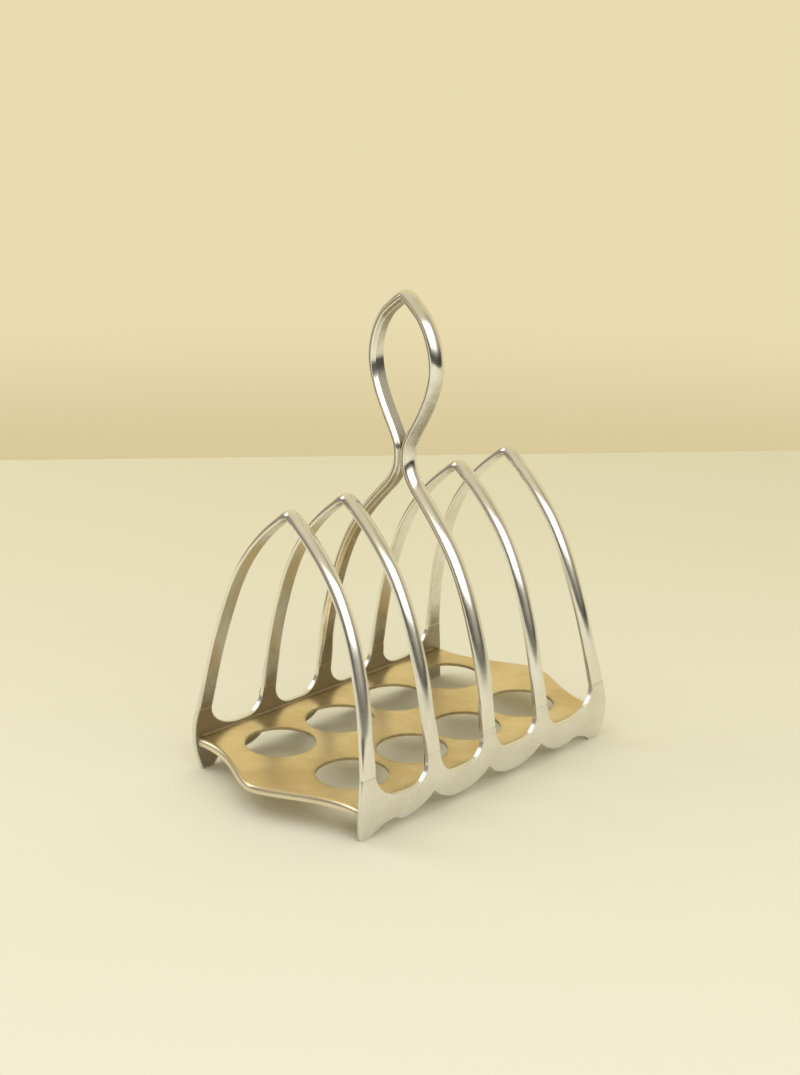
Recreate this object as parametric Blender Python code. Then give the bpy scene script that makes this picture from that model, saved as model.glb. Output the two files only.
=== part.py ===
"""Toast rack: a pierced floor, two scalloped side galleries and five pointed bars.

The middle bar is two strips that run on upwards side by side and part again as a loop handle.
Units are metres, +Z is up, +X is the rack's right side and -Y its front end. The feet stand on z = 0.
"""

import math

import bmesh
import bpy
import numpy as np

MM = 0.001

# Fit between soldered pieces
SOLDER_GAP = 0.3 * MM

# Half-round strip that the arches are bent from, flat side inwards
BAR_WIDTH = 5.6 * MM
BAR_THICKNESS = 2.5 * MM
BAR_TIP_CROWN = 2.3 * MM  # thickness left where the strip is bent to a point

# Heavier strip of the middle bar and its handle, with rounded inner edges
HANDLE_WIDTH = 6.0 * MM
HANDLE_THICKNESS = 3.6 * MM
HANDLE_EDGE_ROUND = 0.9 * MM  # how far each inner edge stands in from the side
HANDLE_TIP_CROWN = 3.1 * MM

# Ends of the strips
TIP_ROUND = 6.0 * MM  # length of strip over which the outside rounds off at a point
FOOT_BLEND = 14.0 * MM  # length of leg over which the flat foot swells to the full section
FOOT_POWER = 0.3  # power of the section's curve at the foot: 1 is round, towards 0 is square

# Spacing of the bars along the rack
BAR_PITCH = 26.0 * MM
END_BAR_INSET = 1.6 * MM  # the end bars' tops stand in from two full pitches
END_BAR_SPLAY = 4.6 * MM  # and their legs spread outwards by this much
SPLAY_TOP_Z = 90.0 * MM

# Pointed arch, measured to the flat inner side of the strip
JOINT_Z = 21.0 * MM  # height of the solder joint between a bar and its gallery upstand
BAR_FOOT_HALF = 37.7 * MM
ARCH_APEX_Z = 96.0 * MM
FOOT_LEAN = 9.0  # degrees from upright
APEX_LEAN = 56.0
# Points that bend the leg: share of its half-width, share of its rise, lean in degrees
LEG_BENDS = ((0.84, 0.387, 17.5), (0.56, 0.72, 33.0))

# Neck and loop handle of the middle bar
SHOULDER = (0.146, 0.965, 45.0)  # last bend of the leg, in the same shares
NECK_RISE = 9.5 * MM  # narrowest part of the neck, above the arches' inner corners
LOOP_HEIGHT = 51.6 * MM
LOOP_HALF = 11.7 * MM
LOOP_TIP_LEAN = 43.0
# Points that bend the loop: share of its half-width, share of its height, lean in degrees
LOOP_BENDS = ((0.53, 0.29, -29.0), (1.0, 0.61, 0.0), (0.65, 0.862, 34.0))

# Side galleries, measured to their inner face
WALL_THICKNESS = 1.8 * MM
FLOOR_BOW = 0.7 * MM  # face at floor level, out from the joint with the bars
FOOT_TUCK = 1.2 * MM  # face at the soles of the feet, in from the joint
CUSP_Z = 7.7 * MM
LOBE_Z = 2.2 * MM
DIP_Z = 12.0 * MM
DIP_RADIUS = 7.5 * MM
POST_SWEEP = 13.0 * MM  # length over which the upper edge climbs to a corner post
POST_BULGE = 1.5 * MM  # end edge of the corner post, proud of its top
FOOT_LENGTH = 4.5 * MM
FOOT_SETBACK = 0.3 * MM  # foot's end, in from the post's top
NOTCH_Z = 3.9 * MM
NOTCH_LENGTH = 9.2 * MM  # from the foot to the crown of the notch beside it

# Floor
FLOOR_Z = 11.0 * MM
SHEET = 1.0 * MM
EDGE_SETBACK = 1.2 * MM  # floor's end edge, in from the corner posts
TONGUE_REACH = 12.0 * MM
TONGUE_HALF = 31.0 * MM
RIM_DROP = 2.4 * MM
RIM_RADIUS = 1.6 * MM
HOLE_WEB = 2.4 * MM  # sheet left between neighbouring holes along the rack
HOLE_COLUMN_X = 17.0 * MM

# Mesh resolution
CURVE_STEPS = 8
SECTION_STEPS = 6
ARC_STEPS = 6
LOBE_STEPS = 12
WALL_BANDS = 6
TONGUE_STEPS = 24
RIM_STEPS = 4
HOLE_STEPS = 28
CUTTER_DEPTH = 6  # depth of a hole's cutter, in sheet thicknesses
SHARP_ANGLE = 40.0  # degrees between faces, past which their edge stays sharp
WELD = 0.001 * MM  # outline points nearer than this are one point

# Places that follow from the sizes above
END_TOP_Y = 2 * BAR_PITCH - END_BAR_INSET
END_JOINT_Y = END_TOP_Y + END_BAR_SPLAY
POST_TOP_Y = END_JOINT_Y + BAR_WIDTH / 2
FOOT_END_Y = POST_TOP_Y - FOOT_SETBACK
POST_FLOOR_Y = POST_TOP_Y + POST_BULGE
FLOOR_END_Y = POST_FLOOR_Y - EDGE_SETBACK
INNER_SLOT_Y = BAR_PITCH / 2
OUTER_SLOT_Y = (BAR_PITCH + END_JOINT_Y) / 2
HOLE_RADIUS = (BAR_PITCH - HOLE_WEB) / 2
NECK_Z = ARCH_APEX_Z + NECK_RISE

# Silver plate, as colour and roughness
SILVER = (0.80, 0.77, 0.71, 1.0)
WORN_SILVER = (0.74, 0.69, 0.60, 1.0)
FLOOR_ROUGHNESS = 0.32
GALLERY_ROUGHNESS = 0.30
BAR_ROUGHNESS = 0.20
HANDLE_ROUGHNESS = 0.16


def heading(lean):
    """Unit step in the (x, z) plane that climbs and leans towards the middle by lean degrees."""
    angle = math.radians(lean)
    return np.array([-math.sin(angle), math.cos(angle)])


def bent_line(knots):
    """Smooth line through (x, z, lean) knots: points and headings, cubic between neighbours."""
    points, headings = [], []
    t = np.linspace(0.0, 1.0, CURVE_STEPS + 1)[:, None]
    for (x0, z0, lean0), (x1, z1, lean1) in zip(knots, knots[1:]):
        start, end = np.array([x0, z0]), np.array([x1, z1])
        reach = np.linalg.norm(end - start) / 3
        ctrl = (start, start + reach * heading(lean0), end - reach * heading(lean1), end)
        curve = (1 - t) ** 3 * ctrl[0] + 3 * (1 - t) ** 2 * t * ctrl[1]
        curve += 3 * (1 - t) * t**2 * ctrl[2] + t**3 * ctrl[3]
        slope = (1 - t) ** 2 * (ctrl[1] - ctrl[0]) + 2 * (1 - t) * t * (ctrl[2] - ctrl[1])
        slope += t**2 * (ctrl[3] - ctrl[2])
        first = 1 if points else 0
        points.extend(curve[first:])
        headings.extend(slope[first:] / np.linalg.norm(slope[first:], axis=1)[:, None])
    return np.array(points), np.array(headings)


def foot_swell(points):
    """0 at the foot of a strip, easing to 1 where its full section begins."""
    steps = np.linalg.norm(np.diff(points, axis=0), axis=1)
    t = np.clip(np.append(0.0, np.cumsum(steps)) / FOOT_BLEND, 0.0, 1.0)
    return t * t * (3 - 2 * t)


def crest_line(points, headings, thickness, tip_crown):
    """Crest of the strip: as thick as the gallery and level at its foot, rounded off at its tip."""
    outward = np.stack([headings[:, 1], -headings[:, 0]], axis=1)
    outward[0] = (1.0, 0.0)
    height = WALL_THICKNESS + (thickness - WALL_THICKNESS) * foot_swell(points)
    crest = points + height[:, None] * outward
    left = np.cumsum(np.linalg.norm(np.diff(points, axis=0), axis=1)[::-1])[::-1]
    first = int(np.sum(left > TIP_ROUND)) - 1
    start, tip = crest[first], points[-1] + (0.0, tip_crown)
    span = np.linalg.norm(tip - start)
    t = np.linspace(0.0, 1.0, len(points) - first)[:, None]
    blend = (2 * t**3 - 3 * t**2 + 1) * start + (3 * t**2 - 2 * t**3) * tip
    blend += span * (t**3 - 2 * t**2 + t) * headings[first] + span * (t**3 - t**2) * np.array([-1.0, 0.0])
    crest[first:] = blend
    return crest


def strip_rings(points, crest, width, edge_round=0.0):
    """Rings of points along the strip: an ellipse cut off by the flat inner side, squarer at the foot."""
    below = math.acos(1 - 2 * edge_round / width)
    turn = np.linspace(-below, math.pi + below, SECTION_STEPS + 1)
    across = -width / 2 * np.cos(turn)
    swell = np.clip((np.sin(turn) + math.sin(below)) / (1 + math.sin(below)), 0.0, 1.0)
    power = FOOT_POWER + (1 - FOOT_POWER) * foot_swell(points)
    out = swell ** power[:, None]
    rings = np.empty((len(points), len(turn), 3))
    rings[:, :, 1] = across
    rings[:, :, 0] = points[:, None, 0] + (crest - points)[:, None, 0] * out
    rings[:, :, 2] = points[:, None, 1] + (crest - points)[:, None, 1] * out
    return rings


def mesh_from_rings(name, rings):
    """Closed mesh skinned over a row of rings, with a flat cap at each end."""
    count, size = rings.shape[:2]
    index = np.arange(count * size).reshape(count, size)
    ahead = np.roll(index, -1, axis=1)
    sides = np.stack([index[:-1], ahead[:-1], ahead[1:], index[1:]], axis=2).reshape(-1, 4)
    faces = sides.tolist() + [index[0, ::-1].tolist(), index[-1].tolist()]
    return finished_mesh(name, rings.reshape(-1, 3).tolist(), faces)


def finished_mesh(name, verts, faces):
    """Mesh with its faces turned outwards, smooth but for its sharp edges."""
    mesh = bpy.data.meshes.new(name)
    mesh.from_pydata(verts, [], faces)
    bm = bmesh.new()
    bm.from_mesh(mesh)
    bmesh.ops.recalc_face_normals(bm, faces=bm.faces)
    bm.to_mesh(mesh)
    bm.free()
    mesh.shade_smooth()
    mesh.set_sharp_from_angle(angle=math.radians(SHARP_ANGLE))
    return mesh


def leg_knots(bends):
    """Knots of a bar's leg from its solder joint up through the given bends."""
    foot_z = JOINT_Z + SOLDER_GAP
    rise = ARCH_APEX_Z - foot_z
    knots = [(BAR_FOOT_HALF, foot_z, FOOT_LEAN)]
    knots += [(BAR_FOOT_HALF * wide, foot_z + rise * high, lean) for wide, high, lean in bends]
    return knots


def arch_mesh(name, top_y=0.0, splay=0.0):
    """Pointed arch: one leg and its mirror image, meeting in a sharp corner inside."""
    points, headings = bent_line(leg_knots(LEG_BENDS) + [(0.0, ARCH_APEX_Z, APEX_LEAN)])
    crest = crest_line(points, headings, BAR_THICKNESS, BAR_TIP_CROWN)
    right = strip_rings(points, crest, BAR_WIDTH)
    left = right[-2::-1] * (-1.0, 1.0, 1.0)
    rings = np.concatenate([right, left])
    drop = np.clip((SPLAY_TOP_Z - rings[:, :, 2]) / (SPLAY_TOP_Z - JOINT_Z), 0.0, None)
    rings[:, :, 1] += top_y - splay * drop**2
    return mesh_from_rings(name, rings)


def handle_mesh(name):
    """Right half of the middle bar: leg, neck and half of the loop, ending in a mitre at the tip."""
    inner = SOLDER_GAP / 2
    tip_z = NECK_Z + LOOP_HEIGHT
    knots = leg_knots(LEG_BENDS + (SHOULDER,)) + [(inner, NECK_Z, 0.0)]
    for wide, high, lean in LOOP_BENDS:
        knots.append((inner + LOOP_HALF * wide, NECK_Z + LOOP_HEIGHT * high, lean))
    points, headings = bent_line(knots + [(inner, tip_z, LOOP_TIP_LEAN)])
    crest = crest_line(points, headings, HANDLE_THICKNESS, HANDLE_TIP_CROWN)
    return mesh_from_rings(name, strip_rings(points, crest, HANDLE_WIDTH, HANDLE_EDGE_ROUND))


def wall_inner(z):
    """Half-width of a gallery's inner face at height z: a parabola through foot, floor and joint."""
    heights = np.array([0.0, FLOOR_Z, JOINT_Z])
    halves = BAR_FOOT_HALF + np.array([-FOOT_TUCK, FLOOR_BOW, 0.0])
    return np.polyval(np.polyfit(heights, halves, 2), z)


def arc_through(start, middle, end, steps):
    """Points on the circle through three points, without the first one."""
    (ax, ay), (bx, by), (cx, cy) = start, middle, end
    d = 2 * (ax * (by - cy) + bx * (cy - ay) + cx * (ay - by))
    a2, b2, c2 = ax * ax + ay * ay, bx * bx + by * by, cx * cx + cy * cy
    ux = (a2 * (by - cy) + b2 * (cy - ay) + c2 * (ay - by)) / d
    uy = (a2 * (cx - bx) + b2 * (ax - cx) + c2 * (bx - ax)) / d
    radius = math.hypot(ax - ux, ay - uy)
    first, last = math.atan2(ay - uy, ax - ux), math.atan2(cy - uy, cx - ux)
    turn = (last - first + math.pi) % (2 * math.pi) - math.pi
    angles = [first + turn * i / steps for i in range(1, steps + 1)]
    return [(ux + radius * math.cos(a), uy + radius * math.sin(a)) for a in angles]


def lower_edge():
    """Half of a gallery's lower edge in (y, z), from the middle cusp out to the end of the foot."""
    edge = [(0.0, CUSP_Z)]
    edge += arc_through((0.0, CUSP_Z), (INNER_SLOT_Y, LOBE_Z), (BAR_PITCH, CUSP_Z), LOBE_STEPS)
    lobe_y = BAR_PITCH + INNER_SLOT_Y
    whole_lobe = arc_through((BAR_PITCH, CUSP_Z), (lobe_y, LOBE_Z), (2 * BAR_PITCH, CUSP_Z), LOBE_STEPS)
    edge += whole_lobe[: LOBE_STEPS // 2]
    toe_y = FOOT_END_Y - FOOT_LENGTH
    crown_y = toe_y - NOTCH_LENGTH
    for i in range(1, ARC_STEPS + 1):
        t = i / ARC_STEPS
        ease = t * t * (3 - 2 * t)
        edge.append((lobe_y + (crown_y - lobe_y) * t, LOBE_Z + (NOTCH_Z - LOBE_Z) * ease))
    mirror_toe = (crown_y - NOTCH_LENGTH, 0.0)
    edge += arc_through(mirror_toe, (crown_y, NOTCH_Z), (toe_y, 0.0), 2 * ARC_STEPS)[ARC_STEPS:]
    edge.append((FOOT_END_Y, 0.0))
    return edge


def sweep(top, bottom):
    """Quarter of an ellipse in (y, z), upright at its top and level at its bottom."""
    turn = np.linspace(0.0, math.pi / 2, ARC_STEPS + 1)
    y = bottom[0] + (top[0] - bottom[0]) * np.cos(turn)
    z = top[1] + (bottom[1] - top[1]) * np.sin(turn)
    return list(zip(y.tolist(), z.tolist()))


def dip(outer_y, inner_y, outer_reach, outer_rise):
    """Dip in the upper edge between two upstands, from the outer one to the inner one."""
    rise = min(DIP_RADIUS, JOINT_Z - DIP_Z)
    inner_reach = min(DIP_RADIUS, (outer_y - inner_y) / 2)
    outer_reach = min(outer_reach, outer_y - inner_y - inner_reach)
    edge = [(outer_y, JOINT_Z)]
    edge += sweep((outer_y, DIP_Z + min(outer_rise, JOINT_Z - DIP_Z)), (outer_y - outer_reach, DIP_Z))
    edge += sweep((inner_y, DIP_Z + rise), (inner_y + inner_reach, DIP_Z))[::-1]
    edge.append((inner_y, JOINT_Z))
    return edge


def distinct(points):
    """The same outline without points that fall on the one before."""
    pairs = zip(points[-1:] + points[:-1], points)
    return [point for before, point in pairs if math.dist(before, point) > WELD]


def gallery_outline():
    """Whole outline of a gallery in (y, z): one half and its mirror image."""
    half = lower_edge()
    half += arc_through((FOOT_END_Y, 0.0), (POST_FLOOR_Y, JOINT_Z / 2), (POST_TOP_Y, JOINT_Z), ARC_STEPS)
    half += dip(END_JOINT_Y - BAR_WIDTH / 2, BAR_PITCH + BAR_WIDTH / 2, POST_SWEEP, JOINT_Z - DIP_Z)
    half += dip(BAR_PITCH - BAR_WIDTH / 2, HANDLE_WIDTH / 2, DIP_RADIUS, DIP_RADIUS)
    return distinct(half + [(-y, z) for y, z in half[:0:-1]])


def gallery_mesh(name):
    """Right gallery: its outline as a sheet, cut into level bands and bowed outwards."""
    bm = bmesh.new()
    face = bm.faces.new([bm.verts.new((0.0, y, z)) for y, z in gallery_outline()])
    grown = bmesh.ops.extrude_face_region(bm, geom=[face])
    outer = [v for v in grown["geom"] if isinstance(v, bmesh.types.BMVert)]
    bmesh.ops.translate(bm, verts=outer, vec=(WALL_THICKNESS, 0.0, 0.0))
    bmesh.ops.triangulate(bm, faces=bm.faces)
    for i in range(1, WALL_BANDS):
        geom = bm.verts[:] + bm.edges[:] + bm.faces[:]
        level = (0.0, 0.0, JOINT_Z * i / WALL_BANDS)
        bmesh.ops.bisect_plane(bm, geom=geom, dist=1e-7, plane_co=level, plane_no=(0.0, 0.0, 1.0))
    for vert in bm.verts:
        vert.co.x += wall_inner(vert.co.z)
    bmesh.ops.recalc_face_normals(bm, faces=bm.faces)
    mesh = bpy.data.meshes.new(name)
    bm.to_mesh(mesh)
    bm.free()
    mesh.shade_smooth()
    mesh.set_sharp_from_angle(angle=math.radians(SHARP_ANGLE))
    return mesh


def floor_edge(x):
    """Distance of the floor's end edge from the middle: straight by the posts, with a round tongue."""
    swell = np.where(np.abs(x) < TONGUE_HALF, 0.5 + 0.5 * np.cos(math.pi * x / TONGUE_HALF), 0.0)
    return FLOOR_END_Y + TONGUE_REACH * swell


def floor_mesh(name, half_width):
    """Floor sheet as a grid: down-turned rim, flat middle, down-turned rim."""
    tongue = min(TONGUE_HALF, half_width)
    x = np.unique(np.append(np.linspace(-tongue, tongue, TONGUE_STEPS + 1), [-half_width, half_width]))
    slope = np.gradient(floor_edge(x), x)
    slope[[0, -1]] = 0.0
    length = np.sqrt(1 + slope**2)
    turn = np.linspace(0.0, math.pi / 2, RIM_STEPS + 1)
    inset = np.concatenate([[0.0], RIM_RADIUS * (1 - np.cos(turn))])
    height = FLOOR_Z - np.concatenate([[RIM_DROP], RIM_RADIUS * (1 - np.sin(turn))])
    front = np.empty((len(inset), len(x), 3))
    front[:, :, 0] = x + inset[:, None] * -slope / length
    front[:, :, 1] = -floor_edge(x) + inset[:, None] / length
    front[:, :, 2] = height[:, None]
    front[:, [0, -1], 0] = (-half_width, half_width)
    rows = np.concatenate([front, front[::-1] * (1.0, -1.0, 1.0)])
    count, size = rows.shape[:2]
    index = np.arange(count * size).reshape(count, size)
    quads = np.stack([index[:-1, :-1], index[:-1, 1:], index[1:, 1:], index[1:, :-1]], axis=2)
    mesh = bpy.data.meshes.new(name)
    mesh.from_pydata(rows.reshape(-1, 3).tolist(), [], quads.reshape(-1, 4).tolist())
    mesh.shade_smooth()
    mesh.set_sharp_from_angle(angle=math.radians(SHARP_ANGLE))
    return mesh


def hole_cutters(name):
    """One round cutter for each hole in the floor, two in every slot."""
    bm = bmesh.new()
    for y in (-OUTER_SLOT_Y, -INNER_SLOT_Y, INNER_SLOT_Y, OUTER_SLOT_Y):
        for x in (-HOLE_COLUMN_X, HOLE_COLUMN_X):
            made = bmesh.ops.create_cone(
                bm,
                cap_ends=True,
                segments=HOLE_STEPS,
                radius1=HOLE_RADIUS,
                radius2=HOLE_RADIUS,
                depth=CUTTER_DEPTH * SHEET,
            )
            bmesh.ops.translate(bm, verts=made["verts"], vec=(x, y, FLOOR_Z))
    mesh = bpy.data.meshes.new(name)
    bm.to_mesh(mesh)
    bm.free()
    return mesh


def silver(name, colour, roughness):
    """Silver plate as a plain metallic material."""
    material = bpy.data.materials.new(name)
    material.use_nodes = True
    shader = material.node_tree.nodes["Principled BSDF"]
    shader.inputs["Base Color"].default_value = colour
    shader.inputs["Metallic"].default_value = 1.0
    shader.inputs["Roughness"].default_value = roughness
    return material


def place(name, mesh, material, parent, y=0.0, half_turn=False):
    """Object for one piece, moved along Y or turned round to face the other way."""
    piece = bpy.data.objects.new(name, mesh)
    piece.location.y = y
    piece.rotation_euler.z = math.pi if half_turn else 0.0
    piece.parent = parent
    if not mesh.materials:
        mesh.materials.append(material)
    bpy.context.collection.objects.link(piece)
    return piece


def floor_piece(rack):
    """Floor between the galleries: solid sheet with its holes cut through."""
    span = np.linspace(FLOOR_Z - RIM_DROP, FLOOR_Z, WALL_BANDS)
    half_width = float(np.min(wall_inner(span))) - SOLDER_GAP
    floor_silver = silver("floor_silver", WORN_SILVER, FLOOR_ROUGHNESS)
    floor = place("base_plate", floor_mesh("base_plate", half_width), floor_silver, rack)
    wall = floor.modifiers.new("sheet", "SOLIDIFY")
    wall.thickness = SHEET
    wall.offset = -1.0
    wall.use_even_offset = True
    cutters = bpy.data.objects.new("hole_cutters", hole_cutters("hole_cutters"))
    cutters.parent = rack
    cutters.hide_render = True
    cutters.display_type = "WIRE"
    bpy.context.collection.objects.link(cutters)
    holes = floor.modifiers.new("holes", "BOOLEAN")
    holes.operation = "DIFFERENCE"
    holes.solver = "EXACT"
    holes.object = cutters


def main():
    for old in list(bpy.data.objects):
        bpy.data.objects.remove(old, do_unlink=True)
    rack = bpy.data.objects.new("toast_rack", None)
    bpy.context.collection.objects.link(rack)

    floor_piece(rack)

    wall = gallery_mesh("gallery")
    wall_silver = silver("gallery_silver", SILVER, GALLERY_ROUGHNESS)
    place("right_gallery", wall, wall_silver, rack)
    place("left_gallery", wall, wall_silver, rack, half_turn=True)

    bar_silver = silver("bar_silver", SILVER, BAR_ROUGHNESS)
    end_arch = arch_mesh("end_arch", top_y=-END_TOP_Y, splay=END_BAR_SPLAY)
    place("front_bar", end_arch, bar_silver, rack)
    place("rear_bar", end_arch, bar_silver, rack, half_turn=True)
    arch = arch_mesh("arch")
    place("second_bar", arch, bar_silver, rack, y=-BAR_PITCH)
    place("fourth_bar", arch, bar_silver, rack, y=BAR_PITCH)

    handle_silver = silver("handle_silver", SILVER, HANDLE_ROUGHNESS)
    strip = handle_mesh("handle_strip")
    place("centre_bar_right", strip, handle_silver, rack)
    place("centre_bar_left", strip, handle_silver, rack, half_turn=True)


main()
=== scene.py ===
# %% [markdown]
# # A silver toast rack
# This lesson dresses the plain solids of a toast rack as the old silver-plated object. Nine pieces are soldered
# together: a pierced floor, two scalloped side galleries, four pointed arches, and two strips that make the
# middle divider and its loop handle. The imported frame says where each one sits, and everything is in metres.

# %% The frame
import math

import bmesh
import bpy
import numpy as np
from mathutils import Matrix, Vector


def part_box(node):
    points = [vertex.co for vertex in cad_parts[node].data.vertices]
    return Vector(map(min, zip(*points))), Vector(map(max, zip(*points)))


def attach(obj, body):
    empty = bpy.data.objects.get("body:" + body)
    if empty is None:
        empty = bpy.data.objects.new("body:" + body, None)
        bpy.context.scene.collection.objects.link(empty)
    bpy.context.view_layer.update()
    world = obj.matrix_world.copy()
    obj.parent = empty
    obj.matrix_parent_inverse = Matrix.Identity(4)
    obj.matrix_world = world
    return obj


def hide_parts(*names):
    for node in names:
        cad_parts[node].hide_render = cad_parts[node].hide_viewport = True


MM = 0.001
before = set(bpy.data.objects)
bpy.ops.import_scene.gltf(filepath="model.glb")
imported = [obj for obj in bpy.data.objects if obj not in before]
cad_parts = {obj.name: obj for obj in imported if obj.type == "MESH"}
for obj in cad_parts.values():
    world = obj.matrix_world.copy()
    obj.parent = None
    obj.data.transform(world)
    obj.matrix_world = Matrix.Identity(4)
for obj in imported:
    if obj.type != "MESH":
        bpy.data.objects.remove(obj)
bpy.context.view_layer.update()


def in_mm(lengths):
    """Lengths in millimetres, rounded for printing."""
    return [round(float(length) / MM, 1) for length in np.ravel(lengths)]


print("nodes:", sorted(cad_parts))

# %% [markdown]
# ## The camera
# The photograph looks down on the front right corner from about three quarters of a metre. A camera could be
# aimed by hand, but a position from angles around the rack is easier to change. Small turns about the camera's
# own axes then take up the tilt of the picture.

# %% Camera at the photograph's viewpoint
IMAGE_HEIGHT = 1075  # pixels along the long side, which the sensor spans
FOCAL_PIXELS = 2200.0
SENSOR = 36.0
AZIMUTH, ELEVATION, DISTANCE = 44.21, 20.32, 730.5 * MM
AIM = np.array([0.0, 0.0, 60.0 * MM])
YAW, PITCH, ROLL = -0.11, -1.27, -0.53


def turn_about(axis, degrees):
    """Turning matrix about one of the camera's own axes."""
    return np.array(Matrix.Rotation(math.radians(degrees), 3, axis))


def axes_from(back):
    """Rows right, up and back of a camera or lamp: back points from what it faces to it, and right is level."""
    right = np.cross((0.0, 0.0, 1.0), back)
    right /= np.linalg.norm(right)
    return np.stack([right, np.cross(back, right), back])


def add_object(name, data):
    """New object for some data, linked into the scene."""
    thing = bpy.data.objects.new(name, data)
    bpy.context.collection.objects.link(thing)
    return thing


def stand(thing, spot, axes):
    """Put a camera or lamp at a spot, turned to its rows right, up and back."""
    thing.matrix_world = Matrix.Translation(spot) @ Matrix(axes.T.tolist()).to_4x4()


az, el = math.radians(AZIMUTH), math.radians(ELEVATION)
axes = axes_from(np.array([math.sin(az) * math.cos(el), -math.cos(az) * math.cos(el), math.sin(el)]))
eye = AIM + DISTANCE * axes[2]
axes = turn_about("Z", ROLL) @ turn_about("X", PITCH) @ turn_about("Y", YAW) @ axes
lens = bpy.data.cameras.new("rack_camera")
lens.sensor_width = SENSOR
lens.lens = FOCAL_PIXELS * SENSOR / IMAGE_HEIGHT
camera = add_object("rack_camera", lens)
stand(camera, eye, axes)
bpy.context.scene.camera = camera
print("camera at", np.round(eye, 3), "with a lens of", round(lens.lens, 1), "mm")

# %% [markdown]
# ## Sizes that the pieces share
# Neighbouring pieces have to meet, so their common sizes are read from the solids' boxes. The bends in between
# are named values, in shares of those sizes where that says more than millimetres.

# %% Shared sizes from the frame
wall_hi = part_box("right_gallery")[1]
bar_lo, bar_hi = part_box("second_bar")
end_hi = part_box("front_bar")[1]
grip_lo, grip_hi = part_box("centre_bar_right")
floor_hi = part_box("base_plate")[1]

JOINT_Z = wall_hi.z
BAR_WIDTH = bar_hi.y - bar_lo.y
BAR_PITCH = -(bar_hi.y + bar_lo.y) / 2
END_TOP_Y = BAR_WIDTH / 2 - end_hi.y
GRIP_WIDTH = grip_hi.y - grip_lo.y
GRIP_TOP_Z = grip_hi.z
FLOOR_Z = floor_hi.z
FLOOR_REACH = floor_hi.y
BAR_FOOT_HALF = 37.7 * MM
WALL_THICKNESS = 1.8 * MM
FLOOR_BOW, FOOT_TUCK = 0.7 * MM, 1.2 * MM  # a gallery bows out at the floor and tucks in at its feet
END_SPLAY = 4.6 * MM  # the end arches' feet stand out from their tops by this much
SPLAY_TOP_Z = 90.0 * MM
END_JOINT_Y = END_TOP_Y + END_SPLAY
print("joint height, pitch and end top:", in_mm([JOINT_Z, BAR_PITCH, END_TOP_Y]), "mm")


def smooth(t):
    """Ease from 0 to 1: 3t^2 - 2t^3, held at the ends."""
    t = np.clip(t, 0.0, 1.0)
    return t * t * (3 - 2 * t)


WALL_BOW = np.polyfit([0.0, FLOOR_Z, JOINT_Z], BAR_FOOT_HALF + np.array([-FOOT_TUCK, FLOOR_BOW, 0.0]), 2)


def wall_inner(z):
    """Half-width of a gallery's inner face at height z: the parabola through foot, floor and joint."""
    return np.polyval(WALL_BOW, z)


# %% [markdown]
# ## From arrays to a mesh
# Each surface below is a grid of points. One helper numbers its squares, and another makes a mesh with what the
# finishes need: a map of metres along and across the metal, in which polishing marks run, a value for grime and
# painted shade, high where a cloth never reaches and where shade is painted on, and one called rub, high on the
# edges, which every cloth reaches.

# %% Grids, meshes and pieces
CREASE = math.radians(40)  # faces that meet at a greater angle keep a sharp edge between them
WELD = 1e-7  # points nearer than this many metres become one


def quads_of(index, closed=False):
    """Squares (i, j), (i, j+1), (i+1, j+1), (i+1, j) of point numbers; closed joins last column and first."""
    if closed:
        index = np.concatenate([index, index[:, :1]], axis=1)
    return np.stack([index[:-1, :-1], index[:-1, 1:], index[1:, 1:], index[1:, :-1]], axis=-1).reshape(-1, 4)


def grid_quads(rows, columns, closed=False):
    """Squares of a grid whose points are numbered row by row."""
    return quads_of(np.arange(rows * columns).reshape(rows, columns), closed)


def turn_outwards(mesh):
    """Merge points that coincide and turn all faces to the outside."""
    bm = bmesh.new()
    bm.from_mesh(mesh)
    bmesh.ops.remove_doubles(bm, verts=bm.verts, dist=WELD)
    bmesh.ops.recalc_face_normals(bm, faces=bm.faces)
    bm.to_mesh(mesh)
    bm.free()


def metal_mesh(name, points, faces, lay, grime_and_shade, rub):
    """Mesh with its lay (metres along, metres across) as a map; grime with painted shade, and rub, on its
    points.
    """
    mesh = bpy.data.meshes.new(name)
    mesh.from_pydata(points.tolist(), [], faces)
    corners = np.empty(len(mesh.loops), dtype=np.int32)
    mesh.loops.foreach_get("vertex_index", corners)
    lay_map = mesh.uv_layers.new(name="lay")
    lay_map.uv.foreach_set("vector", lay[corners].astype(np.float32).ravel())
    for label, values in (("grime_and_shade", grime_and_shade), ("rub", rub)):
        attribute = mesh.attributes.new(label, "FLOAT", "POINT")
        attribute.data.foreach_set("value", np.clip(values, 0.0, 1.0).astype(np.float32))
    turn_outwards(mesh)
    mesh.shade_smooth()
    mesh.set_sharp_from_angle(angle=CREASE)
    return mesh


pieces = []


def place(mesh, node, slot):
    """One finished piece: it stands for its solid, rides with the rack and is listed with its slot."""
    piece = add_object(mesh.name, mesh)
    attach(piece, "root")
    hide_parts(node)
    pieces.append((piece, slot))
    print(piece.name, "stands for", node, "with", len(mesh.polygons), "faces")
    return piece


# %% [markdown]
# ## The line of a strip
# Arches and handle are bent from drawn strip, flat inside and round outside. A smith bends it over a former, so
# its line is a few smooth bends: here a chain of cubic curves through knots, each with a place and a lean,
# which gives a true curve from very few numbers.

# %% Bent lines
LINE_STEPS = 30
FOOT_LEAN, APEX_LEAN = 9.0, 56.0  # degrees
ARCH_APEX_Z = 96.0 * MM
LEG_BENDS = ((0.84, 0.387, 17.5), (0.56, 0.72, 33.0))  # share of half-width, share of rise, lean
SUNK_Z = JOINT_Z - 4.5 * MM  # a strip's foot ends here, inside the gallery


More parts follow.
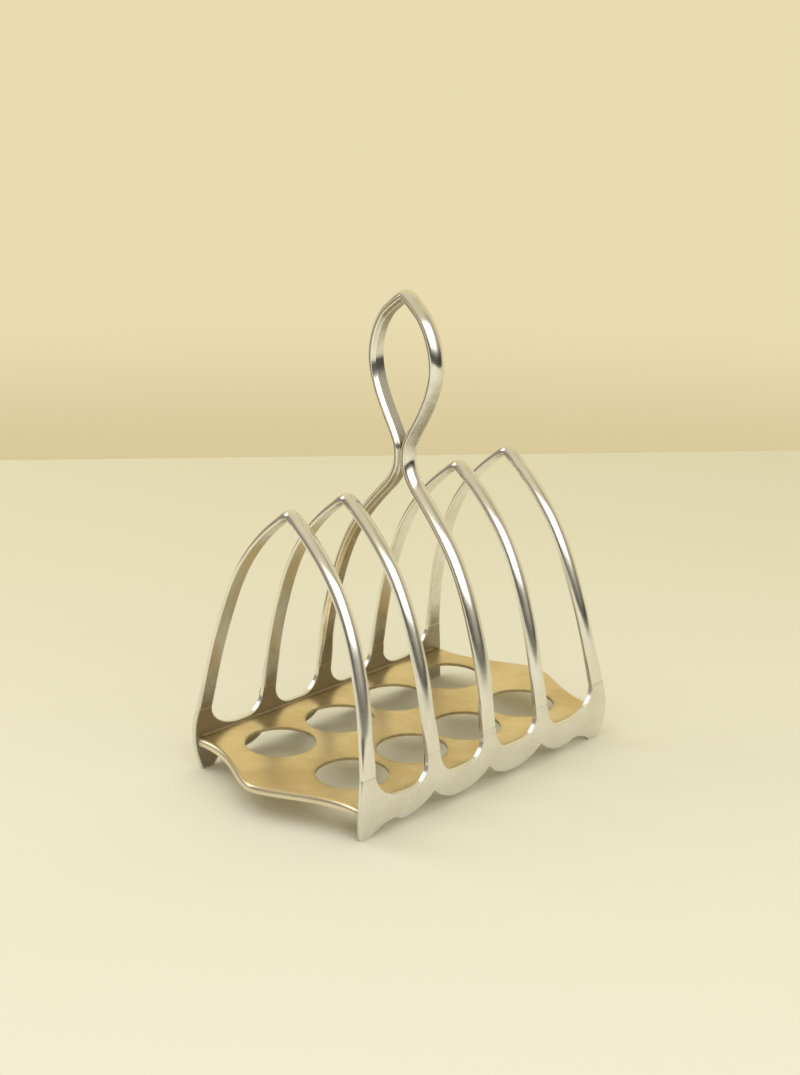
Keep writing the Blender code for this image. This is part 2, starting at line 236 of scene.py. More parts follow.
def heading(lean):
    """Unit steps in (x, z) that climb while leaning towards the middle by lean degrees."""
    return np.stack([-np.sin(np.radians(lean)), np.cos(np.radians(lean))], axis=-1)


def bent_line(knots):
    """Points and headings of a line through (x, z, lean) knots.

    Between neighbours it is (1-t)^3 a + 3(1-t)^2 t b + 3(1-t) t^2 c + t^3 d, where b and c stand a third of
    the span along the headings at a and d.
    """
    knots = np.array(knots)
    spots, way = knots[:, :2], heading(knots[:, 2])
    third = np.linalg.norm(np.diff(spots, axis=0), axis=1)[:, None] / 3
    a, d = spots[:-1, None], spots[1:, None]
    b, c = a + (third * way[:-1])[:, None], d - (third * way[1:])[:, None]
    t = np.linspace(0.0, 1.0, LINE_STEPS, endpoint=False)[None, :, None]
    curve = (1 - t) ** 3 * a + 3 * (1 - t) ** 2 * t * b + 3 * (1 - t) * t**2 * c + t**3 * d
    slope = (1 - t) ** 2 * (b - a) + 2 * (1 - t) * t * (c - b) + t**2 * (d - c)
    slope /= np.linalg.norm(slope, axis=2, keepdims=True)
    points = np.concatenate([curve.reshape(-1, 2), spots[-1:]])
    return points, np.concatenate([slope.reshape(-1, 2), way[-1:]])


def lengths_along(points):
    """Distance of each point from the first, measured along the line."""
    steps = np.linalg.norm(np.diff(points, axis=0), axis=1)
    return np.append(0.0, np.cumsum(steps))


def lengths_from_joint(points):
    """Distance from the solder joint, which is a strip's second knot; negative in its sunk foot."""
    along = lengths_along(points)
    return along - along[LINE_STEPS]


def leg_knot(wide, high, lean):
    """Knot of a leg from shares of its half-width at the foot and of the arch's rise, and its lean."""
    return BAR_FOOT_HALF * wide, JOINT_Z + (ARCH_APEX_Z - JOINT_Z) * high, lean


sunk_lean = math.degrees(math.atan(-np.polyval(np.polyder(WALL_BOW), SUNK_Z)))
leg = [(float(wall_inner(SUNK_Z)), SUNK_Z, sunk_lean), (BAR_FOOT_HALF, JOINT_Z, FOOT_LEAN)]
leg += [leg_knot(*bend) for bend in LEG_BENDS]
arch_line, arch_heading = bent_line(leg + [(0.0, ARCH_APEX_Z, APEX_LEAN)])
print("one leg of an arch is", in_mm(lengths_along(arch_line)[-1]), "mm of strip")

# %% [markdown]
# ## The section of a strip
# Drawn strip has softened edges that catch the light. A bevel on a sharp solid could give them, but here the
# section itself is rounded: a smaller half-round is grown by the edge radius, so that flat, corner and crown
# run into each other with no crease. Near its foot the strip is filed square to sit on the gallery.

# %% Outside of a strip
FOOT_BLEND = 14.0 * MM  # length over which the square foot swells to the full section
LEVEL_RUN = 2.0 * MM  # and over which its outside turns away from level
TIP_ROUND = 6.0 * MM


def strip_crest(points, headings, thickness, tip_crown):
    """Outside of the strip: gallery-thick at the foot, then thicker, rounding off level at the tip.

    The crest is the line plus height times outward; over the last stretch it is the cubic curve from there to
    the tip that starts along the heading and arrives travelling level.
    """
    along = lengths_from_joint(points)
    turned = smooth(along / LEVEL_RUN)[:, None]
    outward = np.stack([headings[:, 1], -headings[:, 0]], axis=1) * turned + np.array([1.0, 0.0]) * (1 - turned)
    outward /= np.linalg.norm(outward, axis=1, keepdims=True)
    height = WALL_THICKNESS + (thickness - WALL_THICKNESS) * smooth(along / FOOT_BLEND)
    crest = points + height[:, None] * outward
    first = np.searchsorted(along, along[-1] - TIP_ROUND)
    start, tip = crest[first], points[-1] + (0.0, tip_crown)
    span = np.linalg.norm(tip - start)
    t = ((along[first:] - along[first]) / (along[-1] - along[first]))[:, None]
    curve = (2 * t**3 - 3 * t**2 + 1) * start + (3 * t**2 - 2 * t**3) * tip
    curve += span * (t**3 - 2 * t**2 + t) * headings[first] + span * (t**3 - t**2) * np.array([-1.0, 0.0])
    crest[first:] = curve
    return crest


# %% Half-round sections
CROWN_POINTS, CORNER_POINTS, FLAT_POINTS = 33, 5, 8
SLOPE_SHARES, UPRIGHT_SHARES = np.array([0.33, 0.67]), np.array([0.2, 0.5, 0.8])
CROWDING = 0.6  # draws the crown's points towards its two ends
BOX_SIDE, BOX_CORNER = 0.2, 0.3  # shares of a squared crown's points that end its side and its corner
UP, LEFT, DOWN, DOWN_LEFT = 0.5 * math.pi, math.pi, 1.5 * math.pi, 1.25 * math.pi  # ways that a surface faces
NO_SLOPE, TINY = 1e-6, 1e-9  # a lower slope is a plain corner; keeps the slope's angle defined


def strip_section(thickness, width, arris, square, flat, side, upright, below):
    """Across, out and outward share of the normals of the sections, one row for each station along the strip.

    A section is a flat, a slope up to the widest point, an upright and a crown. The crown goes from the arch
    -cos(turn) / cos(below), lift to a box of the same size as square goes from 0 to 1. All is shrunk by the
    edge radius, and every point is then moved that radius along its normal, which rounds the corners.
    """
    half, foot = width / 2 - arris, np.minimum(flat, width) / 2 - arris
    rise = thickness - 2 * arris - side - upright
    share = np.linspace(0.0, 1.0, CROWN_POINTS)
    turn = -below + (math.pi + 2 * below) * (share - CROWDING * np.sin(2 * math.pi * share) / (2 * math.pi))
    lean_in, deep = math.cos(below), 1 + math.sin(below)
    lift = np.maximum(np.sin(turn) + math.sin(below), 0.0) / deep
    round_facing = np.arctan2(half * np.sin(turn) / lean_in, -rise * np.cos(turn) / deep)
    box_across = np.interp(share, [BOX_CORNER, 1 - BOX_CORNER], [-1.0, 1.0])
    box_out = np.interp(share, [0.0, BOX_SIDE, 1 - BOX_SIDE, 1.0], [0.0, 1.0, 1.0, 0.0])
    box_facing = np.interp(share, [BOX_SIDE, BOX_CORNER, 1 - BOX_CORNER, 1 - BOX_SIDE], [LEFT, UP, UP, 0.0])
    crown_across = half * (square * box_across - (1 - square) * np.cos(turn) / lean_in)
    crown_out = side + upright + rise * (square * box_out + (1 - square) * lift)
    crown_facing = square * box_facing + (1 - square) * round_facing

    slope = np.where(side > NO_SLOPE, DOWN - np.arctan2(side, half - foot + TINY), DOWN_LEFT)
    fan = np.linspace(0.0, 1.0, CORNER_POINTS, endpoint=False)
    none = np.zeros((len(thickness), CORNER_POINTS))
    ramp, wall = 0 * thickness + SLOPE_SHARES, 0 * thickness + UPRIGHT_SHARES
    left_side = (
        [none - foot, -foot + (foot - half) * ramp, none - half, 0 * wall - half, none - half],
        [none, side * ramp, none + side, side + upright * wall, none + side + upright],
        [DOWN + (slope - DOWN) * fan, slope + 0 * ramp, slope + (LEFT - slope) * fan, LEFT + 0 * wall,
         LEFT + (crown_facing[:, :1] - LEFT) * fan],
    )
    left_across, left_out, left_facing = (np.concatenate(parts, axis=1) for parts in left_side)
    level = foot * np.linspace(1.0, -1.0, FLAT_POINTS + 2)[1:-1]
    across = np.concatenate([left_across, crown_across, -left_across[:, ::-1], level], axis=1)
    out = np.concatenate([left_out, crown_out, left_out[:, ::-1], 0 * level], axis=1)
    facing = np.concatenate([left_facing, crown_facing, LEFT - left_facing[:, ::-1], 0 * level - UP], axis=1)
    return across + arris * np.cos(facing), out + arris * np.sin(facing) + arris, np.sin(facing)


def ring_row(low, ramp, high, wall, brow):
    """Values for a ring's points, from those for its sides' corners, slope and upright; 0 elsewhere."""
    counts = [CORNER_POINTS, len(SLOPE_SHARES), CORNER_POINTS, len(UPRIGHT_SHARES), CORNER_POINTS]
    row = np.repeat([low, ramp, high, wall, brow], counts)
    return np.concatenate([row, np.zeros(CROWN_POINTS), row[::-1], np.zeros(FLAT_POINTS)])


# %% Rings along a strip
ARRIS, FOOT_ARRIS = 0.25 * MM, 0.16 * MM  # radius of a softened edge, and of one at the foot
SINK, PROUD = 0.25 * MM, 0.01 * MM  # how far a foot sinks into the gallery, and stands out above the joint


def strip_grid(points, crest, width, flat_share=1.0, side_share=0.0, upright_share=0.0, below=0.0):
    """Points of the strip, a ring per station: the line plus across along Y and out towards the crest.

    At the joint a section is square and gallery-thick, and below it the foot shrinks by a hair into the wall.
    Also gives the length along the strip, and each point's share of the thickness and how far it faces down.
    """
    along = lengths_from_joint(points)
    swell = smooth(along / FOOT_BLEND)[:, None]
    sunk = np.where(along < 0, SINK, -PROUD)[:, None]
    rise = crest - points
    thickness = np.linalg.norm(rise, axis=1, keepdims=True)
    out_way = rise / thickness
    wide = width - 2 * sunk
    flat = wide * (1 + (flat_share - 1) * swell)
    side, upright = thickness * side_share * swell, thickness * upright_share * swell
    arris = FOOT_ARRIS + (ARRIS - FOOT_ARRIS) * swell
    across, out, facing_out = strip_section(
        thickness - 2 * sunk, wide, arris, 1 - swell, flat, side, upright, below
    )
    out = out + sunk
    rings = np.stack(
        [points[:, :1] + out_way[:, :1] * out, across, points[:, 1:] + out_way[:, 1:] * out], axis=-1
    )
    return rings, along, out / thickness, np.clip(-facing_out * out_way[:, 1:], 0.0, 1.0)


def strip_mesh(name, rings, along, grime_and_shade, rub):
    """Skin over the rings with a cap at each end; its lay runs along the strip, and rub is one ring's."""
    count, size = rings.shape[:2]
    girth = np.linalg.norm(np.diff(rings, axis=1, prepend=rings[:, -1:]), axis=2)
    lay = np.stack([np.broadcast_to(along[:, None], (count, size)), np.cumsum(girth, axis=1)], axis=-1)
    index = np.arange(count * size).reshape(count, size)
    faces = quads_of(index, closed=True).tolist() + [index[0].tolist(), index[-1].tolist()]
    rub = np.broadcast_to(rub, (count, size))
    return metal_mesh(name, rings.reshape(-1, 3), faces, lay.reshape(-1, 2), grime_and_shade.ravel(), rub.ravel())


# %% [markdown]
# ## Four pointed arches
# An arch is one strip bent in the middle to a point, so the right leg is worked out and its mirror image
# follows it down. The end arches are splayed: their legs move outwards with the square of the height below the
# shoulder.

# %% Arches
BAR_THICKNESS, BAR_TIP_CROWN = 2.5 * MM, 2.3 * MM
UNDERSIDE_SHADE = 0.4  # where metal faces straight down
# Painted shade darkens metal where it faces down.
FOOT_GRIME, FOOT_GRIME_RUN, NOOK_GRIME_RUN = 1.05, 9.0 * MM, 4.0 * MM
INSIDE_SHARE = 0.5  # of the thickness, that counts as the flat side
BAR_RUB = ring_row(0.7, 0.7, 0.7, 0.7, 0.7)  # both edges are rubbed bright
ARCHES = (
    ("front_arch", "front_bar", -END_TOP_Y, END_SPLAY), ("second_arch", "second_bar", -BAR_PITCH, 0.0),
    ("fourth_arch", "fourth_bar", BAR_PITCH, 0.0), ("rear_arch", "rear_bar", END_TOP_Y, END_SPLAY),
)


def inside_grime(along, out, corner):
    """Grime on the flat side only: towards the foot, and in a corner this far away along the strip."""
    foot = FOOT_GRIME * np.exp(-np.maximum(along, 0.0) / FOOT_GRIME_RUN)
    nook = np.exp(-((corner / NOOK_GRIME_RUN) ** 2))
    return np.maximum(foot, nook)[:, None] * (1 - smooth(out / INSIDE_SHARE))


def arch_mesh(name, top_y, splay):
    """Pointed arch with its top at top_y and its feet splay further from the middle."""
    crest = strip_crest(arch_line, arch_heading, BAR_THICKNESS, BAR_TIP_CROWN)
    right, along, out, under = strip_grid(arch_line, crest, BAR_WIDTH)
    # Tarnish on the flat side, and painted shade on faces turned down.
    grime_and_shade = inside_grime(along, out, along[-1] - along) + UNDERSIDE_SHADE * under
    rings = np.concatenate([right, right[-2::-1] * (-1.0, 1.0, 1.0)])
    drop = np.clip((SPLAY_TOP_Z - rings[:, :, 2]) / (SPLAY_TOP_Z - JOINT_Z), 0.0, None)
    rings[:, :, 1] += top_y + math.copysign(splay, top_y) * drop**2
    whole = np.concatenate([along, 2 * along[-1] - along[-2::-1]])
    return strip_mesh(name, rings, whole, np.concatenate([grime_and_shade, grime_and_shade[-2::-1]]), BAR_RUB)


for name, node, top_y, splay in ARCHES:
    place(arch_mesh(name, top_y, splay), node, "bar_silver")

# %% [markdown]
# ## The middle divider and its handle
# Two heavier strips rise like an arch, touch at a neck, part again and meet in a point: the loop handle. One is
# the other turned half a turn about the upright axis. Solder has run into the neck, so the strips are drawn
# together there over a few millimetres instead of touching at one point.

# %% Handle line
GRIP_THICKNESS, GRIP_TIP_CROWN = 3.6 * MM, 3.1 * MM
SHOULDER = (0.146, 0.965, 45.0)
NECK_Z = ARCH_APEX_Z + 9.5 * MM
LOOP_TIP_Z = GRIP_TOP_Z - GRIP_TIP_CROWN
LOOP_HALF, LOOP_TIP_LEAN = 11.85 * MM, 43.0
LOOP_BENDS = ((0.53, 0.29, -29.0), (1.0, 0.61, 0.0), (0.65, 0.862, 34.0))
NECK_SOLDER, NECK_RUN = 0.35 * MM, 9.0 * MM

loop_height = LOOP_TIP_Z - NECK_Z
knots = leg + [leg_knot(*SHOULDER), (0.0, NECK_Z, 0.0)]
knots += [(LOOP_HALF * wide, NECK_Z + loop_height * high, lean) for wide, high, lean in LOOP_BENDS]
grip_line, grip_heading = bent_line(knots + [(0.0, LOOP_TIP_Z, LOOP_TIP_LEAN)])
grip_crest = strip_crest(grip_line, grip_heading, GRIP_THICKNESS, GRIP_TIP_CROWN)
from_neck = grip_line[:, 1] - NECK_Z
drawn = grip_line[:, 0] - NECK_SOLDER * np.exp(-((from_neck / NECK_RUN) ** 2))
drawn = 0.5 * (drawn + np.sqrt(drawn**2 + NECK_SOLDER**2))  # never past the middle
blend = smooth(np.abs(from_neck) / (2 * NECK_RUN))
grip_line[:, 0] = drawn * (1 - blend) + grip_line[:, 0] * blend
print("handle loop", in_mm([2 * LOOP_HALF, loop_height]), "mm wide and tall")

# %% Handle strips
GRIP_FLAT_SHARE = 0.66  # inner flat, of the width
GRIP_SIDE_SHARE, GRIP_UPRIGHT_SHARE = 0.24, 0.26  # chamfer and upright side, of the thickness
GRIP_CROWN_START = math.radians(-22)  # the crown leans in from the upright side
# Painted shade darkens a strip's faces turned down, and a band of it runs along the upright sides.
GRIP_UNDERSIDE_SHADE = 1.5
GRIP_SIDE_SHADE, GRIP_RUB = ring_row(0.0, 0.0, 0.0, 0.85, 0.0), ring_row(1.0, 0.3, 1.0, 0.0, 1.0)

grip_rings, grip_along, grip_out, grip_under = strip_grid(
    grip_line, grip_crest, GRIP_WIDTH, GRIP_FLAT_SHARE, GRIP_SIDE_SHARE, GRIP_UPRIGHT_SHARE, GRIP_CROWN_START
)
neck_along = grip_along[np.argmin(np.abs(from_neck))]
neck_grime = inside_grime(grip_along, grip_out, (grip_along - neck_along) / 2)
grip_grime_and_shade = inside_grime(grip_along, grip_out, grip_along[-1] - grip_along)
# Painted shade is added where the strips face down and in a band along their upright sides.
grip_grime_and_shade += neck_grime + GRIP_UNDERSIDE_SHADE * grip_under
grip_grime_and_shade += GRIP_SIDE_SHADE * smooth(grip_along / FOOT_BLEND - 1)[:, None]
print("each handle strip is", in_mm(grip_along[-1]), "mm long")

for name, node, side in (("handle_strip_right", "centre_bar_right", 1.0),
                         ("handle_strip_left", "centre_bar_left", -1.0)):
    rings = grip_rings * (side, side, 1.0)
    place(strip_mesh(name, rings, grip_along, grip_grime_and_shade, GRIP_RUB), node, "handle_silver")

# %% [markdown]
# ## The side galleries
# Each side wall is cut from plate: scallops below, five upstands for the bars with dips between them above, and
# a foot at each end. A grid cut off at the outline would step along the curves, so the wall is a sheet stretched
# between its edges and its squares follow the scallops. Then the whole sheet is bowed outwards.

# %% Gallery edges
CUSP_Z, LOBE_Z, DIP_Z = 7.7 * MM, 2.2 * MM, 12.0 * MM
DIP_RADIUS, POST_SWEEP = 7.5 * MM, 13.0 * MM
FOOT_LENGTH, FOOT_SETBACK = 4.5 * MM, 0.3 * MM
NOTCH_Z, NOTCH_LENGTH = 3.9 * MM, 9.2 * MM
UPSTAND_TOP_Z = JOINT_Z + 0.3 * MM  # an upstand runs on a little inside the bar's foot
POST_TOP_Y = END_JOINT_Y + BAR_WIDTH / 2
FOOT_END_Y = POST_TOP_Y - FOOT_SETBACK
TOE_Y = FOOT_END_Y - FOOT_LENGTH
POST_BULGE = wall_hi.y - POST_TOP_Y
TURN_POINTS, DIP_POINTS, POST_DIP_POINTS = 40, 58, 70
UPSTAND_POINTS, HALF_UPSTAND_POINTS = 11, 6


def arc_height(y, middle, half_chord, sagitta):
    """Height above its chord's ends of a circle's arc over y: sqrt(R^2 - (y-m)^2) - (R - sagitta)."""
    radius = (half_chord**2 + sagitta**2) / (2 * sagitta)
    return np.sqrt(np.maximum(radius**2 - (y - middle) ** 2, 0.0)) - (radius - sagitta)


def lower_edge(y):
    """Height of the scalloped lower edge: round lobes between cusps, then a notch and the foot."""
    y = np.abs(y)
    half, crown = BAR_PITCH / 2, TOE_Y - NOTCH_LENGTH
    lobe = CUSP_Z - arc_height(np.mod(y, BAR_PITCH), half, half, CUSP_Z - LOBE_Z)
    lobe_y = 1.5 * BAR_PITCH
    slope = LOBE_Z + (NOTCH_Z - LOBE_Z) * smooth((y - lobe_y) / (crown - lobe_y))
    notch = np.maximum(arc_height(y, crown, NOTCH_LENGTH, NOTCH_Z), 0.0)
    return np.select([y < lobe_y, y < crown, y < TOE_Y], [lobe, slope, notch], 0.0)


def quarter_turn(start_y, reach, rise):
    """Quarter ellipse as (y, z) from an upright at start_y down to the dip's level, reach away."""
    turn = np.linspace(0.0, math.pi / 2, TURN_POINTS)
    return np.stack([start_y + reach * (1 - np.cos(turn)), DIP_Z + rise * (1 - np.sin(turn))], axis=1)


def dip_edge(inner_y, outer_y, outer_reach, outer_rise, samples):
    """Dip between two upstands as (y, z): down an upright, a quarter ellipse, level, and up again."""
    inner_reach = min(DIP_RADIUS, (outer_y - inner_y) / 2)
    outer_reach = min(outer_reach, outer_y - inner_y - inner_reach)
    inner = quarter_turn(inner_y, inner_reach, DIP_RADIUS)
    outer = quarter_turn(outer_y, -outer_reach, outer_rise)
    line = np.concatenate([[(inner_y, UPSTAND_TOP_Z)], inner, outer[::-1], [(outer_y, UPSTAND_TOP_Z)]])
    along = lengths_along(line)
    even = np.linspace(0.0, along[-1], samples)
    return np.stack([np.interp(even, along, line[:, 0]), np.interp(even, along, line[:, 1])], axis=1)


def upstand_top(start_y, end_y, samples):
    """Level top of an upstand, without its two ends."""
    y = np.linspace(start_y, end_y, samples + 2)[1:-1]
    return np.stack([y, np.full(samples, UPSTAND_TOP_Z)], axis=1)


half_bar, half_grip = BAR_WIDTH / 2, GRIP_WIDTH / 2
half_top = np.concatenate([
    [[0.0, UPSTAND_TOP_Z]], upstand_top(0.0, half_grip, HALF_UPSTAND_POINTS),
    dip_edge(half_grip, BAR_PITCH - half_bar, DIP_RADIUS, DIP_RADIUS, DIP_POINTS),
    upstand_top(BAR_PITCH - half_bar, BAR_PITCH + half_bar, UPSTAND_POINTS),
    dip_edge(BAR_PITCH + half_bar, END_JOINT_Y - half_bar, POST_SWEEP, JOINT_Z - DIP_Z, POST_DIP_POINTS),
    upstand_top(END_JOINT_Y - half_bar, POST_TOP_Y, UPSTAND_POINTS), [[POST_TOP_Y, UPSTAND_TOP_Z]],
])
print("upper edge of half a gallery:", len(half_top), "points over", in_mm(lengths_along(half_top)[-1]), "mm")

# %% [markdown]
# The lower edge is cut at the same columns as the upper one. Where the upper edge stands upright its y hardly
# moves, so each lower point follows a blend of the upper point's y and of the length travelled, bay by bay, and
# the cusps stay exactly under the bars.

# %% Gallery patch
COLUMN_BLEND = 0.35
WALL_ROWS = 26


def lower_columns(top):
    """Lower point for each upper point, bay by bay between the middles of the bars."""
    bay = top[:, 0] > BAR_PITCH
    along = lengths_along(top)
    turn = np.interp(BAR_PITCH, top[:, 0], along)
    share = np.where(bay, (along - turn) / (along[-1] - turn), along / turn)
    first, last = np.where(bay, BAR_PITCH, 0.0), np.where(bay, POST_TOP_Y, BAR_PITCH)
    y = (1 - COLUMN_BLEND) * top[:, 0] + COLUMN_BLEND * (first + (last - first) * share)
    outwards = smooth((y - BAR_PITCH) / (POST_TOP_Y - BAR_PITCH))
    y = y * np.where(bay, 1 + (FOOT_END_Y / POST_TOP_Y - 1) * outwards, 1.0)
    return np.stack([y, lower_edge(y)], axis=1)


def mirrored(half, sign):
    """Whole line out of one half that starts in the middle: the half reversed times sign, then the half."""
    return np.concatenate([half[:0:-1] * sign, half])


def end_edge(start, end, bulge):
    """Rear end of the wall from foot to post top: a straight line plus a bulge of 4 t (1-t)."""
    t = np.linspace(0.0, 1.0, WALL_ROWS + 1)[:, None]
    return start + (end - start) * t + 4 * t * (1 - t) * np.array([bulge, 0.0])


def outline_loop(bottom, end, top):
    """Closed outline: lower edge, rear end, upper edge back, front end down."""
    front = end * (-1.0, 1.0)
    return np.concatenate([bottom, end[1:], top[-2::-1], front[-2:0:-1]])


def inward(loop):
    """Unit normals of the outline that point into the wall."""
    step = np.roll(loop, -1, axis=0) - np.roll(loop, 1, axis=0)
    step /= np.linalg.norm(step, axis=1, keepdims=True)
    return np.stack([-step[:, 1], step[:, 0]], axis=1)


def stretched_sheet(loop, columns, rows):
    """Patch inside a closed outline: the two ruled sheets between facing edges, less the corner sheet."""
    bottom, right = loop[: columns + 1], loop[columns : columns + rows + 1]
    top = loop[columns + rows : 2 * columns + rows + 1][::-1]
    left = np.concatenate([loop[2 * columns + rows :], loop[:1]])[::-1]
    u = np.linspace(0.0, 1.0, columns + 1)[None, :, None]
    v = np.linspace(0.0, 1.0, rows + 1)[:, None, None]
    ruled = (1 - v) * bottom[None] + v * top[None] + (1 - u) * left[:, None] + u * right[:, None]
    corner = (1 - v) * ((1 - u) * bottom[0] + u * bottom[-1]) + v * ((1 - u) * top[0] + u * top[-1])
    return ruled - corner


gallery_bottom, gallery_top = (mirrored(edge, (-1.0, 1.0)) for edge in (lower_columns(half_top), half_top))
gallery_end = end_edge(gallery_bottom[-1], gallery_top[-1], POST_BULGE)
gallery_loop = outline_loop(gallery_bottom, gallery_end, gallery_top)
print("gallery outline:", len(gallery_loop), "points")

# %% [markdown]
# The rim joins the inner and the outer sheet: a softened edge, two fine seams down the end faces, and the
# other softened edge. Tarnish and painted shade are laid by place: tarnish along the floor, up the posts and
# faintly in the scallops, painted shade with some tarnish over the inner face, and painted shade under the
# floor.

# %% Galleries
RIM_POINTS, RIM_ROUND, RIM_RUB = 4, FOOT_ARRIS, 0.6
SEAMS = ((0.7 * MM, 10.0 * MM), (1.42 * MM, JOINT_Z - 1.0 * MM))  # depth from the inner face, and top
SEAM_HALF, SEAM_CUT, SEAM_FADE = 0.13 * MM, 0.2 * MM, 2.0 * MM
END_BAND = 0.1 * MM  # outline points this near the foot's end are on the end face
# The inner face is darkened by tarnish and painted shade, and below the floor by painted shade.
INSIDE_TARNISH_AND_SHADE, UNDER_FLOOR_SHADE, POST_GRIME, END_POST_GRIME, SCALLOP_GRIME = 0.55, 0.9, 0.45, 0.25, 0.35
FLOOR_LINE_RUN, POST_RUN, SCALLOP_RUN = 1.6 * MM, 4.0 * MM, 0.8 * MM
END_POST_Y, END_POST_RUN = 40.0 * MM, 20.0 * MM


def wall_grime_and_shade(plane, deep):
    """Inner tarnish, most along the floor and in the corners, and a faint one along the scallops outside.

    Painted shade darkens the inner face too, most of all under the floor.
    """
    y, z = plane[:, 0], plane[:, 1]
    inside = 1 - smooth(deep / WALL_THICKNESS * 2)
    floor_line = inside * np.exp(-(((z - FLOOR_Z) / FLOOR_LINE_RUN) ** 2))
    under = inside * (1 - smooth(z / FLOOR_Z)) * UNDER_FLOOR_SHADE
    post = POST_GRIME + END_POST_GRIME * smooth((np.abs(y) - END_POST_Y) / END_POST_RUN)
    post = post * inside * smooth((z - FLOOR_Z) / POST_RUN)
    scallop = SCALLOP_GRIME * np.exp(-((z - lower_edge(y)) / SCALLOP_RUN))
    return floor_line + under + INSIDE_TARNISH_AND_SHADE * inside + post + scallop


def gallery_rim(loop):
    """Depth, inset and seam share of each row of the rim, from the inner face to the outer one."""
    turn = np.linspace(0.0, math.pi / 2, RIM_POINTS)
    rounding, depth = RIM_ROUND * (1 - np.sin(turn)), RIM_ROUND * (1 - np.cos(turn))
    seam = [middle + step * SEAM_HALF for middle, _ in SEAMS for step in (-1, 0, 1)]
    depth = np.concatenate([depth, seam, WALL_THICKNESS - depth[::-1]])
    cut = np.zeros((len(depth), len(loop)))
    on_end = np.abs(loop[:, 0]) > FOOT_END_Y - END_BAND
    for number, (_, top_z) in enumerate(SEAMS):
        cut[RIM_POINTS + 3 * number + 1] = on_end * (1 - smooth((loop[:, 1] - top_z) / SEAM_FADE))
    inset = np.concatenate([rounding, np.zeros(len(seam)), rounding[::-1]])[:, None] + SEAM_CUT * cut
    return depth, inset, cut


def gallery_mesh(name, side):
    """Bowed wall on one side: two patches a wall's thickness apart, joined by a rim with softened edges."""
    loop, columns, rows = gallery_loop, len(gallery_bottom) - 1, WALL_ROWS
    depth, inset, cut = gallery_rim(loop)
    rim = loop[None] + inset[..., None] * inward(loop)[None]
    face = stretched_sheet(rim[0], columns, rows).reshape(-1, 2)
    count, size = len(face), len(loop)
    plane = np.concatenate([face, face, rim[1:-1].reshape(-1, 2)])
    seams = np.append(np.zeros(2 * count), cut[1:-1].ravel())
    deep = np.concatenate([np.zeros(count), np.full(count, WALL_THICKNESS), np.repeat(depth[1:-1], size)])
    points = np.stack([side * (wall_inner(plane[:, 1]) + deep), plane[:, 0], plane[:, 1]], axis=1)

    cell = np.arange(count).reshape(rows + 1, columns + 1)
    border = np.concatenate([cell[0], cell[1:, -1], cell[-1, -2::-1], cell[-2:0:-1, 0]])
    rings = 2 * count + np.arange(size * (len(depth) - 2)).reshape(-1, size)
    rings = np.concatenate([border[None], rings, border[None] + count])
    outer = quads_of(cell + count)[:, ::-1]
    faces = np.concatenate([quads_of(cell), outer, quads_of(rings, closed=True)]).tolist()
    rub = np.zeros(len(points))
    rub[np.unique(rings)] = RIM_RUB
    return metal_mesh(name, points, faces, plane, wall_grime_and_shade(plane, deep) + seams, rub * (1 - seams))


place(gallery_mesh("gallery_right", 1.0), "right_gallery", "gallery_silver")
place(gallery_mesh("gallery_left", -1.0), "left_gallery", "gallery_silver")

# %% [markdown]
# ## The pierced floor
# The floor is one sheet with eight punched holes and a tongue at each end whose edge is turned down. Cutting the
# holes out would leave long thin triangles that spoil a reflection, so each gets a frame of squares from its
# circle to a rectangle, and the rectangles tile the floor. Solder along the galleries has left a hollow fillet.

# %% Floor panels
HOLE_RADIUS, HOLE_X = 11.8 * MM, 17.0 * MM
HOLE_Y = (BAR_PITCH / 2, (BAR_PITCH + END_JOINT_Y) / 2)
FILLET, FILLET_LAP, FILLET_POINTS = 0.7 * MM, 0.2 * MM, 6
SIDE_POINTS, RING_POINTS, RING_SPREAD = 24, 9, 1.3
WALL_X = float(wall_inner(FLOOR_Z))
PANEL_X = WALL_X - FILLET
BETWEEN_Y = (HOLE_Y[0] + HOLE_Y[1]) / 2
PANEL_Y = (0.0, BETWEEN_Y, 2 * HOLE_Y[1] - BETWEEN_Y)


def patch(x, y, z, closed=False):
    """Points and squares of one grid of the floor."""
    return np.stack([x, y, z], axis=-1).reshape(-1, 3), grid_quads(*x.shape, closed=closed)


def hole_panel(x_side, y_side, row):
    """Frame of squares around one hole: (1-r) circle + r rectangle, with the rectangle's sides cut evenly."""
    side = np.arange(4 * SIDE_POINTS) / SIDE_POINTS
    y0, y1 = PANEL_Y[row : row + 2]
    x = np.interp(side, range(5), [0.0, PANEL_X, PANEL_X, 0.0, 0.0])
    y = np.interp(side, range(5), [y0, y0, y1, y1, y0])
    angle = np.arctan2(y - HOLE_Y[row], x - HOLE_X)
    r = (np.linspace(0.0, 1.0, RING_POINTS) ** RING_SPREAD)[:, None]
    grid_x = (1 - r) * (HOLE_X + HOLE_RADIUS * np.cos(angle)) + r * x
    grid_y = (1 - r) * (HOLE_Y[row] + HOLE_RADIUS * np.sin(angle)) + r * y
    return patch(x_side * grid_x, y_side * grid_y, np.full_like(grid_x, FLOOR_Z), closed=True)


def fillet_columns():
    """Distance out and climb of the hollow fillet against a gallery: a quarter circle, then into the wall."""
    turn = np.linspace(0.0, math.pi / 2, FILLET_POINTS)
    out = np.append(PANEL_X + FILLET * np.sin(turn), WALL_X + FILLET_LAP)
    return out, np.append(FILLET * (1 - np.cos(turn)), FILLET)


